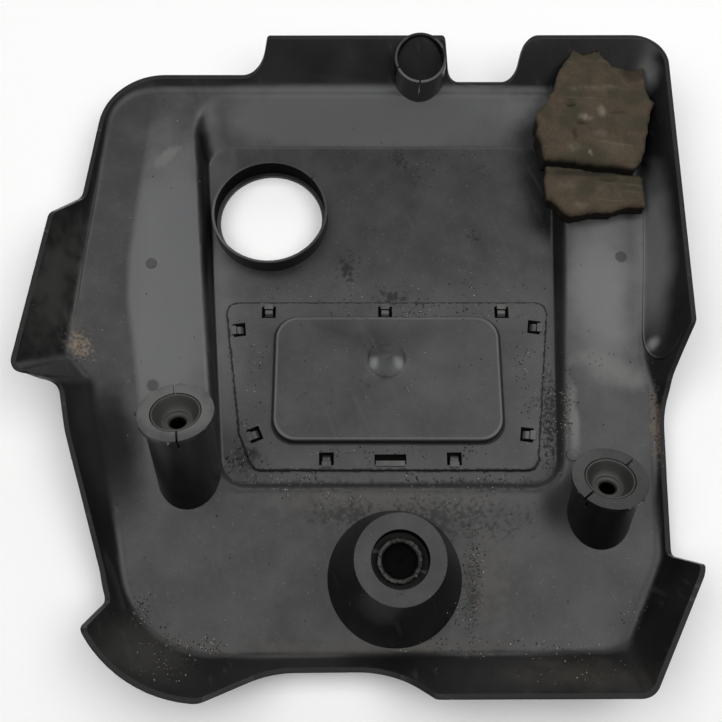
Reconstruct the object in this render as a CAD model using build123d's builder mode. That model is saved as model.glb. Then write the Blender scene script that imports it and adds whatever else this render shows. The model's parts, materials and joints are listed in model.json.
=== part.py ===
from build123d import *
from math import cos, radians, sin, tan
import os

os.makedirs("parts", exist_ok=True)

# Skin of the moulding
wall = 2.5
skirt_skin = 3.0
plateau_skin = 2.2

# Outline corners, clockwise from the back left
# each has its place at the foot level, its place at the flare level and the two corner radii
flare_level = 60.0
outline = [
    ((-189.0, 144.0), (-207.5, 202.5), 33.0, 55.0),
    ((181.5, 143.0), (209.5, 203.5), 18.0, 24.0),
    ((166.5, -50.0), (205.5, -27.0), 10.0, 10.0),
    ((172.0, -72.0), (210.0, -59.5), 14.0, 14.0),
    ((171.5, -170.0), (193.0, -194.0), 34.0, 9.0),
    ((147.0, -227.5), (150.5, -268.5), 26.0, 3.0),
    ((-151.0, -231.0), (-180.5, -268.5), 60.0, 95.0),
    ((-182.5, -56.0), (-220.0, -72.0), 13.0, 9.0),
    ((-198.5, -32.5), (-240.5, -73.0), 14.0, 9.0),
]

# Shoulder floor, measured on its upper side
back_line = 164.0
back_level = 22.0
shoulder_tilt = 2.5
side_slope = 7.0
side_crease = -168.0
side_blend = 90.0
skirt_fillet = 8.0
skirt_edge = 6.5
foot_limit = 31.0

# Plateau, measured on its upper side
plateau_back = 127.0
plateau_front = -127.0
plateau_back_left = -130.0
plateau_back_right = 128.0
plateau_front_left = -105.0
plateau_front_right = 113.0
plateau_corner = 20.0
plateau_loft = 30.0
plateau_run_side = 10.0
plateau_run_back = 50.0
plateau_run_front = 22.0
plateau_fillet = 3.0
plateau_lip = 8.0

# Rim heights
low_rim = 27.5
back_rim = 47.0
notch_rim = 24.0
wing_rim = 48.5
left_rim = 36.0
left_low_rim = 18.5
lobe_rim = 42.0
front_rim = 39.0
dip_rim = 16.0
scoop_rim_back = 14.5
scoop_rim_front = 11.5
rim_reach = 300.0

# Seat of the trim plate
seat_back = 0.5
seat_front = -117.5
seat_back_left = -108.0
seat_back_right = 114.0
seat_front_left = -84.0
seat_front_right = 100.0
seat_cut_left = -94.5
seat_cut_front = -93.5
seat_corner = 7.0
seat_depth = 2.3
panel_depth = 7.3
panel_back = -11.8
panel_front = -99.5
panel_left = -72.7
panel_right = 79.0
panel_corner = 15.0
panel_fillet = 2.2
dome_x = 2.5
dome_y = -44.0
dome_radius = 13.5
dome_height = 0.7
dome_slope = 2.0
dome_fillet = 0.8
slot_length = 9.5
slot_width = 7.5
slot_reach = 8.3
latch_length = 20.5
latch_width = 6.5
clip_slots = [
    (-78.0, -6.5, 0.0),
    (2.0, -6.5, 0.0),
    (82.0, -6.5, 0.0),
    (-98.0, -20.0, 97.0),
    (-84.5, -94.0, 113.0),
    (104.0, -18.0, 263.0),
    (94.5, -94.0, 263.0),
    (-37.0, -110.5, 180.0),
    (46.0, -110.5, 180.0),
]
latch_slot = (4.5, -110.5)

# Oil filler collar
filler_x = -79.0
filler_y = 66.0
filler_radius = 40.7
filler_wall = 1.8
filler_hole = 36.4
filler_height = 16.0
filler_slit = 0.8
filler_slit_angle = 42.0

# Towers that carry the ball sockets
tower_lean = 25.0
tower_radius = 20.0
tower_wall = 3.0
tower_flange = 23.0
tower_flange_height = 3.0
tower_slit = 1.2
tower_slit_depth = 12.0
left_tower = (-124.5, -122.0)
left_tower_length = 60.5
left_slit_angle = 100.0
right_tower = (135.5, -147.0)
right_tower_length = 37.3
right_slit_angle = 40.0

# Ball sockets of rubber
socket_gap = 0.4
socket_head = 15.0
socket_height = 16.0
socket_cone = 8.0
socket_mouth = 13.0
socket_hole = 5.0

# Split tube at the back edge
tube_x = 28.0
tube_y = 173.0
tube_radius = 18.5
tube_wall = 1.8
tube_rim = 46.0
tube_rim_tilt = 12.3
tube_slit = 1.2
tube_slit_depth = 14.0
tube_slit_angles = (268.0, 205.0)

# Conical boss and its sleeve
boss_x = 6.0
boss_y = -186.5
boss_radius = 42.3
boss_ring_x = 9.0
boss_ring_y = -178.0
boss_ring_radius = 27.9
boss_height = 25.0
boss_skin = 2.8
boss_bore = 17.7
boss_bore_depth = 15.0
boss_neck = 12.0
sleeve_radius = 13.8
sleeve_bore = 10.9
sleeve_height = 6.0

# Trim plate and its hooks
plate_gap = 0.4
hook_width = 6.0
hook_thickness = 1.6
hook_lip = 1.4
hook_cap = 1.2
hook_gap = 0.5

# Foam pads
foam_upper_thickness = 19.0
foam_lower_thickness = 13.0
foam_corner = 3.0
foam_upper = [
    (137.0, 182.5),
    (158.0, 182.0),
    (170.5, 167.5),
    (189.0, 169.0),
    (188.5, 152.0),
    (193.5, 146.0),
    (176.5, 86.5),
    (112.0, 96.0),
    (107.5, 123.0),
    (120.5, 150.0),
]
foam_lower = [
    (114.0, 94.2),
    (178.0, 84.8),
    (179.6, 59.0),
    (152.8, 55.0),
    (128.6, 52.3),
    (112.4, 69.0),
]

# Marks of the ejector pins on the shoulder
pin_marks = [(-159.0, 25.0), (-152.0, -62.0), (165.0, 30.0), (121.5, -109.0)]
pin_radius = 3.8
pin_height = 0.4

# Planes worked out from the sizes above
shoulder = Plane(
    origin=(0, back_line, back_level),
    x_dir=(1, 0, 0),
    z_dir=(0, -sin(radians(shoulder_tilt)), cos(radians(shoulder_tilt))),
)
side = Plane(
    origin=(side_crease, back_line, back_level),
    x_dir=shoulder.y_dir,
    z_dir=shoulder.z_dir * cos(radians(side_slope)) + Vector(sin(radians(side_slope)), 0, 0),
)
seat_points = [
    (seat_back_left, seat_back),
    (seat_back_right, seat_back),
    (seat_front_right, seat_front),
    (seat_front_left, seat_front),
    (seat_cut_left, seat_cut_front),
]
plateau_low = [
    (plateau_back_left, plateau_back),
    (plateau_back_right, plateau_back),
    (plateau_front_right, plateau_front),
    (plateau_front_left, plateau_front),
]
plateau_high = [
    (plateau_back_left - plateau_run_side, plateau_back + plateau_run_back),
    (plateau_back_right + plateau_run_side, plateau_back + plateau_run_back),
    (plateau_front_right + plateau_run_side, plateau_front - plateau_run_front),
    (plateau_front_left - plateau_run_side, plateau_front - plateau_run_front),
]


def on_plane(edge, plane):
    return abs(plane.to_local_coords(edge.center()).Z) < 0.01


def in_plateau(edge):
    box = edge.bounding_box()
    across = plateau_high[0][0] < box.min.X and box.max.X < plateau_high[1][0]
    return across and plateau_high[2][1] < box.min.Y and box.max.Y < plateau_high[0][1]


# The outer face and the hollow are one shape drawn at the two sides of the skin
skins = []
for grow, drop, foot_round in ((1, wall, skirt_edge), (-1, 0, skirt_fillet)):
    with BuildPart() as plateau:
        for level, points in ((wall, plateau_low), (wall + plateau_loft, plateau_high)):
            with BuildSketch(Plane.XY.offset(level - drop)):
                with BuildLine():
                    FilletPolyline(*points, radius=plateau_corner, close=True)
                make_face()
                offset(amount=grow * plateau_skin / 2)
        loft(ruled=True)
        split(bisect_by=shoulder.offset(-drop), keep=Keep.BOTTOM)
        fillet(plateau.faces().sort_by(Axis.Z)[0].edges(), radius=plateau_fillet + drop)
    with BuildPart() as tub:
        for level, place, radius in ((0, 0, 2), (flare_level, 1, 3)):
            with BuildSketch(Plane.XY.offset(level)):
                with BuildLine():
                    FilletPolyline(*[c[place] for c in outline], radius=[c[radius] for c in outline], close=True)
                make_face()
                offset(amount=grow * skirt_skin / 2)
        loft(ruled=True)
        split(bisect_by=shoulder.offset(-drop), keep=Keep.TOP)
        split(bisect_by=side.offset(-drop), keep=Keep.TOP)
        floors = (shoulder.offset(-drop), side.offset(-drop))
        crease = tub.edges().filter_by(lambda e: all(on_plane(e, p) for p in floors))
        fillet(crease, radius=side_blend)
        skirt = tub.faces().filter_by(lambda f: f.bounding_box().max.Z > flare_level - wall)
        skirt = skirt.filter_by(lambda f: f.bounding_box().min.Z < flare_level - wall)
        foot = skirt.edges().filter_by(lambda e: e.bounding_box().max.Z < foot_limit)
        fillet(foot, radius=foot_round)
        add(plateau.part)
        lip = tub.edges().filter_by(lambda e: on_plane(e, floors[0])).filter_by(in_plateau)
        fillet(lip, radius=plateau_lip - drop)
    skins.append(tub.part)
outer_skin, inner_void = skins

# Everything that lies under or outside the outer face
with BuildPart() as underside:
    with Locations((0, 0, flare_level)):
        Box(600, 600, 2 * flare_level, align=(Align.CENTER, Align.CENTER, Align.MAX))
    add(outer_skin, mode=Mode.SUBTRACT)

# Towers, drawn along their lean from an oval foot on the shoulder floor
lean_axis = (0, sin(radians(tower_lean)), cos(radians(tower_lean)))
foot_stretch = 1 / cos(radians(tower_lean + shoulder_tilt))
tower_bore = tower_radius - tower_wall
tower_lip = socket_head + socket_gap
towers = []
tower_tops = []
for (x, y), length, slit_angle in (
    (left_tower, left_tower_length, left_slit_angle),
    (right_tower, right_tower_length, right_slit_angle),
):
    foot_z = back_level + (y - back_line) * tan(radians(shoulder_tilt))
    foot_plane = Plane(origin=(x, y, foot_z), x_dir=(1, 0, 0), z_dir=shoulder.z_dir)
    top = Vector(x, y, foot_z) + Vector(*lean_axis) * length
    top_plane = Plane(origin=top, x_dir=(1, 0, 0), z_dir=lean_axis)
    with BuildPart() as tower:
        with BuildSketch(foot_plane.offset(-wall / 2)):
            Ellipse(tower_radius, tower_radius * foot_stretch)
        extrude(amount=2 * length, dir=lean_axis)
        with BuildSketch(foot_plane):
            Ellipse(tower_bore, tower_bore * foot_stretch)
        extrude(amount=2 * length, dir=lean_axis, mode=Mode.SUBTRACT)
        split(bisect_by=top_plane, keep=Keep.BOTTOM)
        with BuildSketch(top_plane):
            Circle(tower_flange)
            Circle(tower_lip, mode=Mode.SUBTRACT)
        extrude(amount=-tower_flange_height)
        with Locations(top_plane * Rotation(0, 0, slit_angle)):
            Box(3 * tower_flange, tower_slit, 2 * tower_slit_depth, mode=Mode.SUBTRACT)
    towers.append(tower.part)
    tower_tops.append(top_plane)

# Back tube, its bore and its slits
tube_rim_plane = Plane(
    origin=(tube_x, tube_y, tube_rim),
    x_dir=(1, 0, 0),
    z_dir=(0, -sin(radians(tube_rim_tilt)), cos(radians(tube_rim_tilt))),
)
with BuildPart() as tube:
    with Locations((tube_x, tube_y, 0)):
        Cylinder(tube_radius, flare_level, align=(Align.CENTER, Align.CENTER, Align.MIN))
    split(bisect_by=tube_rim_plane, keep=Keep.BOTTOM)
    add(underside.part, mode=Mode.SUBTRACT)
with BuildPart() as tube_bore:
    with Locations((tube_x, tube_y, 0)):
        Cylinder(tube_radius - tube_wall, flare_level, align=(Align.CENTER, Align.CENTER, Align.MIN))
    add(inner_void, mode=Mode.INTERSECT)

# Conical boss
boss_z = back_level + (boss_y - back_line) * tan(radians(shoulder_tilt))
boss_foot = Plane(origin=(boss_x, boss_y, boss_z), x_dir=(1, 0, 0), z_dir=shoulder.z_dir)
boss_top = Plane(origin=(boss_ring_x, boss_ring_y, boss_z + boss_height), x_dir=(1, 0, 0), z_dir=shoulder.z_dir)
boss_slope = (boss_radius - boss_ring_radius) / boss_height

# Rim lines, each seen along the side that it trims
# each point has its place, its height and the radius of its corner
back_line_rim = [
    (-rim_reach, low_rim, 0),
    (-88, low_rim, 18),
    (-82, back_rim, 2.5),
    (46, back_rim, 3),
    (50, notch_rim, 8),
    (97, notch_rim, 11.5),
    (103.2, back_rim, 13),
    (rim_reach, back_rim, 0),
]
front_line_rim = [
    (-rim_reach, lobe_rim, 0),
    (-105, lobe_rim, 12),
    (-67.5, dip_rim, 45),
    (4, dip_rim, 52),
    (27.5, front_rim, 5),
    (rim_reach, front_rim, 0),
]
left_line_rim = [
    (rim_reach, low_rim, 0),
    (70, low_rim, 12),
    (46, wing_rim, 9),
    (-66, wing_rim, 3),
    (-70, left_rim, 8),
    (-100, left_rim - 1.5, 100),
    (-185, left_low_rim, 40),
    (-201, left_low_rim, 8),
    (-218, lobe_rim, 7),
    (-rim_reach, lobe_rim, 0),
]
right_line_rim = [
    (rim_reach, back_rim, 0),
    (-31, back_rim, 8),
    (-72, scoop_rim_back, 60),
    (-173, scoop_rim_front, 5),
    (-182, front_rim, 2.5),
    (-rim_reach, front_rim, 0),
]
rim_lines = [
    (Plane.XZ.offset(-120), back_line_rim, -rim_reach),
    (Plane.XZ.offset(190), front_line_rim, rim_reach),
    (Plane.YZ.offset(-130), left_line_rim, -rim_reach),
    (Plane.YZ.offset(120), right_line_rim, rim_reach),
]

# The moulded cover
with BuildPart() as cover:
    add(outer_skin)
    add(inner_void, mode=Mode.SUBTRACT)
    for plane, line, reach in rim_lines:
        points = [(place, height) for place, height, _ in line]
        roof = [(points[-1][0], 2 * flare_level), (points[0][0], 2 * flare_level)]
        with BuildSketch(plane):
            with BuildLine():
                FilletPolyline(*points, radius=[corner for _, _, corner in line[1:-1]])
                Polyline(points[-1], *roof, points[0])
            make_face()
        extrude(amount=reach, mode=Mode.SUBTRACT)

    # Seat of the trim plate and the raised panel in it
    panel_x = (panel_left + panel_right) / 2
    panel_y = (panel_back + panel_front) / 2
    panel_width = panel_right - panel_left
    panel_length = panel_back - panel_front
    with BuildSketch(Plane.XY.offset(wall)):
        with BuildLine():
            FilletPolyline(*seat_points, radius=seat_corner, close=True)
        make_face()
    extrude(amount=seat_depth)
    with BuildSketch(Plane.XY.offset(wall)):
        with Locations((panel_x, panel_y)):
            RectangleRounded(panel_width, panel_length, panel_corner)
    extrude(amount=panel_depth)
    panel_top = cover.faces().filter_by(lambda f: abs(f.center().Z - wall - panel_depth) < 0.01)
    fillet(panel_top.edges(), radius=panel_fillet)
    dome_level = wall + panel_depth
    with Locations((dome_x, dome_y, dome_level)):
        Cone(dome_radius, dome_radius - dome_slope, dome_height, align=(Align.CENTER, Align.CENTER, Align.MIN))
    dome_edges = cover.edges().filter_by(GeomType.CIRCLE)
    dome_edges = dome_edges.filter_by(lambda e: abs(e.center().Z - dome_level - dome_height) < 0.01)
    fillet(dome_edges, radius=dome_fillet)
    with BuildSketch(Plane.XY):
        with BuildLine():
            FilletPolyline(*seat_points, radius=seat_corner, close=True)
        make_face()
        offset(amount=-wall)
    extrude(amount=seat_depth, mode=Mode.SUBTRACT)
    with BuildSketch(Plane.XY):
        with Locations((panel_x, panel_y)):
            RectangleRounded(panel_width - 2 * wall, panel_length - 2 * wall, panel_corner - wall)
    extrude(amount=panel_depth, mode=Mode.SUBTRACT)
    slot_z = seat_depth + wall / 2
    for x, y, turn in clip_slots:
        with Locations(Pos(x, y, slot_z) * Rotation(0, 0, turn) * Pos(0, slot_width / 2, 0)):
            Box(slot_length, slot_reach, 2 * wall, align=(Align.CENTER, Align.MAX, Align.CENTER), mode=Mode.SUBTRACT)
    with Locations((latch_slot[0], latch_slot[1], slot_z)):
        Box(latch_length, latch_width, 2 * wall, mode=Mode.SUBTRACT)

    # Marks of the ejector pins
    with BuildSketch(shoulder.offset(-wall / 2)):
        with Locations([(x, (y - back_line) / cos(radians(shoulder_tilt))) for x, y in pin_marks]):
            Circle(pin_radius)
    extrude(amount=wall / 2 + pin_height)

    # Oil filler collar
    with Locations((filler_x, filler_y, 0)):
        Cylinder(filler_radius, filler_height, align=(Align.CENTER, Align.CENTER, Align.MIN))
        Cylinder(filler_hole, 2 * filler_height, mode=Mode.SUBTRACT)
    with Locations((filler_x, filler_y, wall)):
        Cylinder(
            filler_radius - filler_wall,
            filler_height,
            align=(Align.CENTER, Align.CENTER, Align.MIN),
            mode=Mode.SUBTRACT,
        )
    with Locations(Pos(filler_x, filler_y, wall) * Rotation(0, 0, filler_slit_angle) * Pos(filler_radius, 0, 0)):
        Box(
            4 * filler_wall,
            filler_slit,
            filler_height,
            align=(Align.CENTER, Align.CENTER, Align.MIN),
            mode=Mode.SUBTRACT,
        )

    # Towers and tube
    for tower_part in towers:
        add(tower_part)
    add(tube.part)
    add(tube_bore.part, mode=Mode.SUBTRACT)
    for angle in tube_slit_angles:
        with Locations(tube_rim_plane * Rotation(0, 0, angle) * Pos(tube_radius, 0, 0)):
            Box(4 * tube_wall, tube_slit, 2 * tube_slit_depth, mode=Mode.SUBTRACT)

    # Conical boss, hollow from the outer face, with a cup for the sleeve
    with BuildSketch(boss_foot.offset(-wall / 2)):
        Circle(boss_radius)
    with BuildSketch(boss_top):
        Circle(boss_ring_radius)
    loft()
    with BuildSketch(boss_foot.offset(-wall - 1)):
        Circle(boss_radius - boss_skin)
    with BuildSketch(boss_top.offset(-wall)):
        Circle(boss_ring_radius - boss_skin + wall * boss_slope)
    loft(mode=Mode.SUBTRACT)
    with BuildSketch(boss_top):
        Circle(boss_bore + wall)
    extrude(amount=-boss_bore_depth - wall)
    with BuildSketch(boss_top):
        Circle(boss_bore)
    extrude(amount=-boss_bore_depth, mode=Mode.SUBTRACT)
    with BuildSketch(boss_top):
        Circle(boss_neck)
    extrude(amount=-boss_bore_depth - 2 * wall, mode=Mode.SUBTRACT)

# Trim plate with its hooks
with BuildPart() as plate:
    with BuildSketch(Plane.XY):
        with BuildLine():
            FilletPolyline(*seat_points, radius=seat_corner, close=True)
        make_face()
        offset(amount=-wall - plate_gap)
    extrude(amount=seat_depth)
    hooks = [(x, y, turn, hook_width, slot_width) for x, y, turn in clip_slots]
    hooks.append((latch_slot[0], latch_slot[1], 180.0, latch_length - 4 * plate_gap, latch_width))
    for x, y, turn, width, slot in hooks:
        post = slot / 2 - hook_gap
        with Locations(Pos(x, y, seat_depth) * Rotation(0, 0, turn) * Pos(0, post, 0)):
            Box(width, hook_thickness, wall + hook_cap, align=(Align.CENTER, Align.MAX, Align.MIN))
        with Locations(Pos(x, y, seat_depth + wall) * Rotation(0, 0, turn) * Pos(0, slot / 2 + hook_lip, 0)):
            Box(width, hook_lip + hook_gap + hook_thickness, hook_cap, align=(Align.CENTER, Align.MAX, Align.MIN))

# Ball sockets, held under the lip of each tower
sockets = []
for top_plane in tower_tops:
    with BuildPart(top_plane) as socket:
        Cylinder(socket_head, tower_flange_height, align=(Align.CENTER, Align.CENTER, Align.MAX))
        with Locations((0, 0, -tower_flange_height)):
            Cylinder(
                tower_bore,
                socket_height - tower_flange_height,
                align=(Align.CENTER, Align.CENTER, Align.MAX),
            )
        Cone(
            socket_hole,
            socket_mouth,
            socket_cone,
            align=(Align.CENTER, Align.CENTER, Align.MAX),
            mode=Mode.SUBTRACT,
        )
        Cylinder(socket_hole, 3 * socket_height, mode=Mode.SUBTRACT)
    sockets.append(socket.part)

# Sleeve in the boss, closed at its lower end
with BuildPart(boss_top) as sleeve:
    with Locations((0, 0, -boss_bore_depth)):
        Cylinder(sleeve_radius, sleeve_height, align=(Align.CENTER, Align.CENTER, Align.MIN))
        Cylinder(boss_neck, wall, align=(Align.CENTER, Align.CENTER, Align.MAX))
        Cylinder(sleeve_bore, sleeve_height, align=(Align.CENTER, Align.CENTER, Align.MIN), mode=Mode.SUBTRACT)

# Foam pads, cut to the inner face of the cover
foams = []
for points, thickness in ((foam_upper, foam_upper_thickness), (foam_lower, foam_lower_thickness)):
    with BuildPart() as foam:
        with BuildSketch(Plane.XY):
            with BuildLine():
                FilletPolyline(*points, radius=foam_corner, close=True)
            make_face()
        extrude(amount=2 * flare_level)
        split(bisect_by=shoulder, keep=Keep.TOP)
        split(bisect_by=shoulder.offset(thickness), keep=Keep.BOTTOM)
        add(inner_void, mode=Mode.INTERSECT)
    foams.append(foam.part)

nodes = {
    "cover_shell": cover.part,
    "trim_plate": plate.part,
    "left_grommet": sockets[0],
    "right_grommet": sockets[1],
    "boss_grommet": sleeve.part,
    "foam_pad_upper": foams[0],
    "foam_pad_lower": foams[1],
}
for name, part in nodes.items():
    part.label = name
    export_step(part, f"parts/{name}.step")
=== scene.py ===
# %% [markdown]
# # An engine cover, underside up
# The object is a black moulded cover from an engine bay. It lies on its outer face, so the hollow side
# with its sockets, tubes and foam pads looks up at us. The shapes come from the CAD model. This lesson
# gives them their finish: satin plastic with grain, dust and dirt, rubber sockets, worn foam and loose
# grit.

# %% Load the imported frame
import json
import math
import random
import bmesh
import bpy
from mathutils import Matrix, Vector, noise
from mathutils.bvhtree import BVHTree
from mathutils.geometry import delaunay_2d_cdt


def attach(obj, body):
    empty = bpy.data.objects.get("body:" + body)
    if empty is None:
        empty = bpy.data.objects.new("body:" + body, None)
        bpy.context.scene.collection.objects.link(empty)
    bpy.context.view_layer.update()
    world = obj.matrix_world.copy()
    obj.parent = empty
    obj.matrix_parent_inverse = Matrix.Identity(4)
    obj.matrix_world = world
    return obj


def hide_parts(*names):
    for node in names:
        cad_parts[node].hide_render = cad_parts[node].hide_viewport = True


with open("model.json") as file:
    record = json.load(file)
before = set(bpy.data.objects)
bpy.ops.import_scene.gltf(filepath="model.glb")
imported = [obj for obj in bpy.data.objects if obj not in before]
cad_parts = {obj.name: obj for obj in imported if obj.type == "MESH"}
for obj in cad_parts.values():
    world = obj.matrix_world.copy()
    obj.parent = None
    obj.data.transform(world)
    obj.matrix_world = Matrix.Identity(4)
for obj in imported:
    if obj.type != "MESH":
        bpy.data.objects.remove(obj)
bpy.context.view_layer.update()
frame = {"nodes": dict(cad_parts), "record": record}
nodes = frame["nodes"]
mounts = {m["name"]: m for m in frame["record"]["mounts"]}
print("nodes:", sorted(nodes))

# %% [markdown]
# ## Camera
# The photograph was taken from above, a little in front of the cover. A camera turned 20 degrees up from
# straight down, with a 45 mm lens, sees the collar rim and its hole as the photograph shows them.

# %% Place the camera
def link(thing):
    bpy.context.scene.collection.objects.link(thing)
    return thing


camera = link(bpy.data.objects.new("photo_camera", bpy.data.cameras.new("photo_camera")))
camera.data.sensor_width = 36.0
camera.data.lens = 44.88
camera.data.clip_start = 0.01
camera.location = (-0.0146, -0.2510, 0.5750)
camera.rotation_euler = (math.radians(20.08), 0.0, 0.0)
bpy.context.scene.camera = camera
print("camera at", tuple(round(v, 4) for v in camera.location))

# %% [markdown]
# ## Studio
# Black plastic shows what it reflects, so the light matters more than the paint. Two soft panels hang at
# the sides and a weaker one between them: level faces mirror the panels and turn grey, most of all on the
# two shoulders. A low panel stands behind the cover for the faces that lean back. Walls that face the
# camera mirror only the dark hollow and stay black.

# %% Build the floor, the panel lamps and the world
def studio_floor(size):
    half = size / 2
    corners = [(-half, -half, 0), (half, -half, 0), (half, half, 0), (-half, half, 0)]
    mesh = bpy.data.meshes.new("studio_floor")
    mesh.from_pydata(corners, [], [(0, 1, 2, 3)])
    paint = bpy.data.materials.new("studio_white")
    paint.use_nodes = True
    shader = paint.node_tree.nodes["Principled BSDF"]
    shader.inputs["Base Color"].default_value = (0.90, 0.90, 0.895, 1)
    shader.inputs["Roughness"].default_value = 0.75
    mesh.materials.append(paint)
    floor = link(bpy.data.objects.new("studio_floor", mesh))


def panel_lamp(name, place, size, level, tip=0.0):
    data = bpy.data.lights.new(name, "AREA")
    data.shape = "RECTANGLE"
    data.size, data.size_y = size
    data.energy = level * math.pi * size[0] * size[1]
    lamp = link(bpy.data.objects.new(name, data))
    lamp.location = place
    lamp.rotation_euler = (math.radians(tip), 0.0, 0.0)


studio_floor(12.0)
panel_lamp("middle_panel", (0.0, 0.0, 1.75), (1.1, 2.3), 1.2)
panel_lamp("left_panel", (-1.30, 0.0, 1.75), (1.5, 2.3), 2.4)
panel_lamp("right_panel", (1.30, 0.0, 1.75), (1.5, 2.3), 2.8)
panel_lamp("back_panel", (0.0, 2.30, 0.85), (3.6, 1.5), 1.5, tip=-85.0)
world = bpy.data.worlds.new("studio_air")
world.use_nodes = True
air = world.node_tree.nodes["Background"]
air.inputs["Color"].default_value = (0.045, 0.045, 0.046, 1)
air.inputs["Strength"].default_value = 1.0
bpy.context.scene.world = world
bpy.context.scene.view_settings.view_transform = "Standard"
print("studio ready")

# %% [markdown]
# ## Helpers for node trees
# Every finish below is a small network of nodes. A helper class holds one tree and keeps the cells short:
# it adds a node and feeds its sockets in one line, and it has a plain word for each common step. One
# function opens a new group from a list of inputs, each with its default or, where it has none, its kind
# of socket.

# %% Define the node helpers
class Net:
    """One node tree, with a word for each step that builds it."""

    def __init__(self, tree):
        self.tree = tree

    def feed(self, socket, value):
        if isinstance(value, bpy.types.NodeSocket):
            self.tree.links.new(value, socket)
        else:
            socket.default_value = value

    def feed_named(self, sockets, values):
        for label, value in values.items():
            self.feed(sockets[label.replace("_", " ")], value)

    def put(self, kind, sockets=None, **settings):
        made = self.tree.nodes.new(kind)
        for key, value in settings.items():
            setattr(made, key, value)
        for label, value in (sockets or {}).items():
            self.feed(made.inputs[label], value)
        return made

    def use(self, group, **values):
        made = self.put(self.tree.bl_idname.replace("Tree", "Group"), node_tree=group.tree)
        self.feed_named(made.inputs, values)
        return made.outputs

    def give(self, **values):
        self.feed_named(self.result, values)

    def maths(self, operation, *values, clamp=False):
        sockets = dict(enumerate(values))
        return self.put("ShaderNodeMath", sockets, operation=operation, use_clamp=clamp).outputs[0]

    def fold(self, operation, values):
        total = values[0]
        for value in values[1:]:
            total = self.maths(operation, total, value)
        return total

    def plus(self, *values):
        return self.fold("ADD", values)

    def minus(self, *values):
        return self.fold("SUBTRACT", values)

    def times(self, *values):
        return self.fold("MULTIPLY", values)

    def most(self, *values):
        return self.fold("MAXIMUM", values)

    def least(self, *values):
        return self.fold("MINIMUM", values)

    def vector(self, operation, *values):
        made = self.put("ShaderNodeVectorMath", dict(enumerate(values)), operation=operation)
        return made.outputs["Value" if operation in ("LENGTH", "DOT_PRODUCT") else "Vector"]

    def stretched(self, direction, amount):
        sockets = {0: direction, "Scale": amount}
        return self.put("ShaderNodeVectorMath", sockets, operation="SCALE").outputs["Vector"]

    def turned(self, place, angle):
        sockets = {"Vector": place, "Angle": angle}
        return self.put("ShaderNodeVectorRotate", sockets, rotation_type="Z_AXIS").outputs[0]

    def part(self, axis, of):
        return self.put("ShaderNodeSeparateXYZ", {0: of}).outputs[axis]

    def ramp(self, value, low, high, to_low=0.0, to_high=1.0):
        sockets = {"Value": value, "From Min": low, "From Max": high, "To Min": to_low, "To Max": to_high}
        return self.put("ShaderNodeMapRange", sockets, interpolation_type="SMOOTHSTEP").outputs[0]

    def mottle(self, where, scale, detail=2.0, roughness=0.5):
        sockets = {"Vector": where, "Scale": scale, "Detail": detail, "Roughness": roughness}
        return self.put("ShaderNodeTexNoise", sockets).outputs[0]


print("net helper ready")

# %% Define how a group is opened
FLOAT, VECTOR, GEOMETRY = "NodeSocketFloat", "NodeSocketVector", "NodeSocketGeometry"
SOCKET_OF = {float: FLOAT, tuple: VECTOR, int: "NodeSocketInt"}


def new_group(kind, name, inputs, outputs):
    net = Net(bpy.data.node_groups.new(name, kind))
    for label, default in inputs.items():
        socket = SOCKET_OF.get(type(default), default)
        made = net.tree.interface.new_socket(label, in_out="INPUT", socket_type=socket)
        if socket != default:
            made.default_value = default
    for label in outputs:
        socket = GEOMETRY if label == "Geometry" else FLOAT
        net.tree.interface.new_socket(label, in_out="OUTPUT", socket_type=socket)
    net.result = net.tree.nodes.new("NodeGroupOutput").inputs
    print("group:", name)
    return net, net.tree.nodes.new("NodeGroupInput").outputs


def new_effect(name, inputs, outputs):
    return new_group("ShaderNodeTree", name, {"Position": VECTOR, **inputs}, outputs)


def new_tree(name, **inputs):
    inputs = {label.replace("_", " "): default for label, default in inputs.items()}
    inputs = {"Geometry": GEOMETRY, **inputs, "Material": "NodeSocketMaterial"}
    return new_group("GeometryNodeTree", name, inputs, ["Geometry"])


print("kinds of socket:", len(SOCKET_OF))

# %% [markdown]
# ## Shared effects
# Grain, dust, scuffs and ragged patches, for stains and for painted light, appear on more than one
# finish, so each is a shader node group that is built once. They read a position in metres and give back
# masks and heights. The material decides what to do with them.

# %% Group: moulded grain
grain, given = new_effect("moulded_grain", {"Grains per Metre": 900.0}, ["Height", "Patches"])
broad = grain.mottle(given["Position"], scale=24.0, detail=3.0)
grain.give(
    Height=grain.mottle(given["Position"], given["Grains per Metre"], detail=4.0),
    Patches=grain.ramp(broad, 0.38, 0.66),
)

# %% Group: dust that settles on faces that look up
dust, given = new_effect("settled_dust", {"Specks per Metre": 420.0, "Amount": 0.5}, ["Film", "Specks"])
upward = dust.ramp(dust.part("Z", dust.put("ShaderNodeNewGeometry").outputs["Normal"]), 0.70, 0.98)
clouds = dust.mottle(given["Position"], scale=38.0, detail=6.0, roughness=0.62)
specks = dust.mottle(given["Position"], given["Specks per Metre"])
dust.give(
    Film=dust.times(upward, dust.ramp(clouds, 0.30, 0.72), given["Amount"]),
    Specks=dust.times(upward, dust.ramp(specks, 0.66, 0.74), given["Amount"]),
)
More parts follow.
